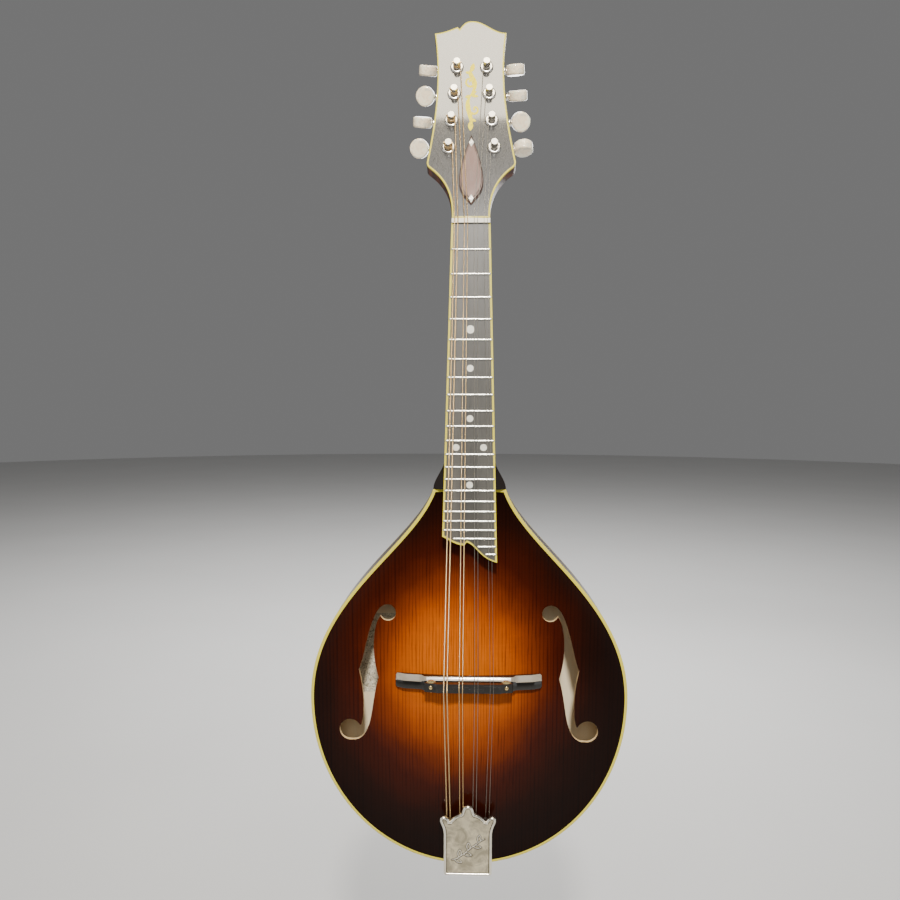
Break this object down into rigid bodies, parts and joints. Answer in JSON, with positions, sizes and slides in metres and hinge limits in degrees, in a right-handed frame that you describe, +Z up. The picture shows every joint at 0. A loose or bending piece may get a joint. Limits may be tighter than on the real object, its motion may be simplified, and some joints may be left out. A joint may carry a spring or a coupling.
{
  "type": "mandolin",
  "caption": "Carved pear-shaped mandolin with f-holes, paired strings, adjustable bridge, geared tuners and metal tailpiece.",
  "frame": {"origin": "in the middle of the neck at the nut, where a hanger closes round the neck under the headstock", "axes": "+Z up the neck from the tail to the headstock, +X to the treble side, +Y to the back; the strings face -Y"},
  "size_m": [0.257, 0.1019, 0.6951],
  "materials": {
    "spruce_top": "gloss sunburst lacquer over straight-grained spruce, amber in the middle and dark brown at the edge",
    "flamed_maple": "gloss dark brown lacquer over flamed maple",
    "neck_maple": "satin dark brown lacquer over maple",
    "plain_wood": "bare planed wood",
    "ebony": "polished ebony",
    "ebony_board": "oiled ebony",
    "rosewood": "polished rosewood",
    "ivoroid": "grained ivory-coloured plastic, polished",
    "ivory_plastic": "polished ivory-coloured plastic",
    "bone": "polished bone",
    "pearl": "polished mother of pearl",
    "pearloid": "polished pearl-effect plastic",
    "nickel": "polished nickel plate",
    "fret_metal": "polished nickel silver",
    "steel": "drawn steel",
    "bronze": "phosphor bronze winding",
    "brass": "turned brass"
  },
  "bodies": {
    "root": {"soundboard": "spruce_top", "back_plate": "flamed_maple", "rib_bass": "flamed_maple", "rib_treble": "flamed_maple", "neck_block": "plain_wood", "tail_block": "plain_wood", "kerfed_linings": "plain_wood", "tone_bars": "plain_wood", "top_binding": "ivoroid", "back_binding": "ivoroid", "neck": "neck_maple", "heel_cap": "ebony", "truss_rod": "steel", "truss_rod_cover": "rosewood", "headstock_veneer": "ebony", "headstock_binding": "ivoroid", "headstock_inlay": "pearl", "nut": "bone", "fretboard": "ebony_board", "fretboard_binding": "ivoroid", "frets": "fret_metal", "position_dots": "pearl", "bridge_base": "ebony", "bridge_studs": "brass", "tailpiece_plate": "nickel", "strap_button": "ivory_plastic", "wound_strings": "bronze", "plain_strings": "steel", "tuner_bushings": "nickel", "tuner_plates": "nickel", "small_screws": "nickel"},
    "tuner_1": {"tuner_button_1": "pearloid", "tuner_worm_1": "nickel"},
    "tuner_2": {"tuner_button_2": "pearloid", "tuner_worm_2": "nickel"},
    "tuner_3": {"tuner_button_3": "pearloid", "tuner_worm_3": "nickel"},
    "tuner_4": {"tuner_button_4": "pearloid", "tuner_worm_4": "nickel"},
    "tuner_5": {"tuner_button_5": "pearloid", "tuner_worm_5": "nickel"},
    "tuner_6": {"tuner_button_6": "pearloid", "tuner_worm_6": "nickel"},
    "tuner_7": {"tuner_button_7": "pearloid", "tuner_worm_7": "nickel"},
    "tuner_8": {"tuner_button_8": "pearloid", "tuner_worm_8": "nickel"},
    "post_1": {"tuner_post_1": "nickel"},
    "post_2": {"tuner_post_2": "nickel"},
    "post_3": {"tuner_post_3": "nickel"},
    "post_4": {"tuner_post_4": "nickel"},
    "post_5": {"tuner_post_5": "nickel"},
    "post_6": {"tuner_post_6": "nickel"},
    "post_7": {"tuner_post_7": "nickel"},
    "post_8": {"tuner_post_8": "nickel"},
    "saddle": {"bridge_saddle": "ebony"},
    "bass_wheel": {"bridge_wheel_bass": "brass"},
    "treble_wheel": {"bridge_wheel_treble": "brass"},
    "tail_cover": {"tailpiece_cover": "nickel"},
    "rod_nut": {"truss_rod_nut": "brass"}
  },
  "joints": [
    {"name": "tuner_1_turn", "type": "hinge", "parent": "root", "child": "tuner_1", "pos_m": [-0.0171, 0.02975, 0.06325], "axis": [0.9962, -0.0255, -0.0833], "continuous": true},
    {"name": "tuner_2_turn", "type": "hinge", "parent": "root", "child": "tuner_2", "pos_m": [-0.01508, 0.03653, 0.08541], "axis": [0.9962, -0.0255, -0.0833], "continuous": true},
    {"name": "tuner_3_turn", "type": "hinge", "parent": "root", "child": "tuner_3", "pos_m": [-0.01305, 0.0433, 0.10757], "axis": [0.9962, -0.0255, -0.0833], "continuous": true},
    {"name": "tuner_4_turn", "type": "hinge", "parent": "root", "child": "tuner_4", "pos_m": [-0.01102, 0.05008, 0.12973], "axis": [0.9962, -0.0255, -0.0833], "continuous": true},
    {"name": "tuner_5_turn", "type": "hinge", "parent": "root", "child": "tuner_5", "pos_m": [0.0171, 0.02975, 0.06325], "axis": [0.9962, 0.0255, 0.0833], "continuous": true},
    {"name": "tuner_6_turn", "type": "hinge", "parent": "root", "child": "tuner_6", "pos_m": [0.01508, 0.03653, 0.08541], "axis": [0.9962, 0.0255, 0.0833], "continuous": true},
    {"name": "tuner_7_turn", "type": "hinge", "parent": "root", "child": "tuner_7", "pos_m": [0.01305, 0.0433, 0.10757], "axis": [0.9962, 0.0255, 0.0833], "continuous": true},
    {"name": "tuner_8_turn", "type": "hinge", "parent": "root", "child": "tuner_8", "pos_m": [0.01102, 0.05008, 0.12973], "axis": [0.9962, 0.0255, 0.0833], "continuous": true},
    {"name": "post_1_turn", "type": "hinge", "parent": "root", "child": "post_1", "pos_m": [-0.0178, 0.01136, 0.06054], "axis": [0, 0.9563, -0.2924], "continuous": true},
    {"name": "post_2_turn", "type": "hinge", "parent": "root", "child": "post_2", "pos_m": [-0.01577, 0.01813, 0.0827], "axis": [0, 0.9563, -0.2924], "continuous": true},
    {"name": "post_3_turn", "type": "hinge", "parent": "root", "child": "post_3", "pos_m": [-0.01375, 0.0249, 0.10486], "axis": [0, 0.9563, -0.2924], "continuous": true},
    {"name": "post_4_turn", "type": "hinge", "parent": "root", "child": "post_4", "pos_m": [-0.01172, 0.03168, 0.12702], "axis": [0, 0.9563, -0.2924], "continuous": true},
    {"name": "post_5_turn", "type": "hinge", "parent": "root", "child": "post_5", "pos_m": [0.0178, 0.01136, 0.06054], "axis": [0, 0.9563, -0.2924], "continuous": true},
    {"name": "post_6_turn", "type": "hinge", "parent": "root", "child": "post_6", "pos_m": [0.01577, 0.01813, 0.0827], "axis": [0, 0.9563, -0.2924], "continuous": true},
    {"name": "post_7_turn", "type": "hinge", "parent": "root", "child": "post_7", "pos_m": [0.01375, 0.0249, 0.10486], "axis": [0, 0.9563, -0.2924], "continuous": true},
    {"name": "post_8_turn", "type": "hinge", "parent": "root", "child": "post_8", "pos_m": [0.01172, 0.03168, 0.12702], "axis": [0, 0.9563, -0.2924], "continuous": true},
    {"name": "saddle_height", "type": "slide", "parent": "root", "child": "saddle", "axis": [0, 1, 0], "range_m": [0, 0.002]},
    {"name": "bass_wheel_turn", "type": "hinge", "parent": "saddle", "child": "bass_wheel", "pos_m": [-0.0295, -0.035, -0.357], "axis": [0, 1, 0], "range_deg": [0, 907]},
    {"name": "treble_wheel_turn", "type": "hinge", "parent": "saddle", "child": "treble_wheel", "pos_m": [0.0295, -0.035, -0.357], "axis": [0, 1, 0], "range_deg": [0, 907]},
    {"name": "tail_cover_slide", "type": "slide", "parent": "root", "child": "tail_cover", "axis": [0, 0, -1], "range_m": [0, 0.06]},
    {"name": "rod_nut_turn", "type": "hinge", "parent": "root", "child": "rod_nut", "pos_m": [0, 0.00693, 0.02377], "axis": [0, 0.0872, 0.9962], "range_deg": [-180, 180]}
  ],
  "couplings": [
    {"joint": "post_1_turn", "follows": "tuner_1_turn", "ratio": -0.066667},
    {"joint": "post_2_turn", "follows": "tuner_2_turn", "ratio": -0.066667},
    {"joint": "post_3_turn", "follows": "tuner_3_turn", "ratio": -0.066667},
    {"joint": "post_4_turn", "follows": "tuner_4_turn", "ratio": -0.066667},
    {"joint": "post_5_turn", "follows": "tuner_5_turn", "ratio": -0.066667},
    {"joint": "post_6_turn", "follows": "tuner_6_turn", "ratio": -0.066667},
    {"joint": "post_7_turn", "follows": "tuner_7_turn", "ratio": -0.066667},
    {"joint": "post_8_turn", "follows": "tuner_8_turn", "ratio": -0.066667},
    {"joint": "bass_wheel_turn", "follows": "saddle_height", "rad_per_m": 7913.3},
    {"joint": "treble_wheel_turn", "follows": "saddle_height", "rad_per_m": 7913.3}
  ]
}
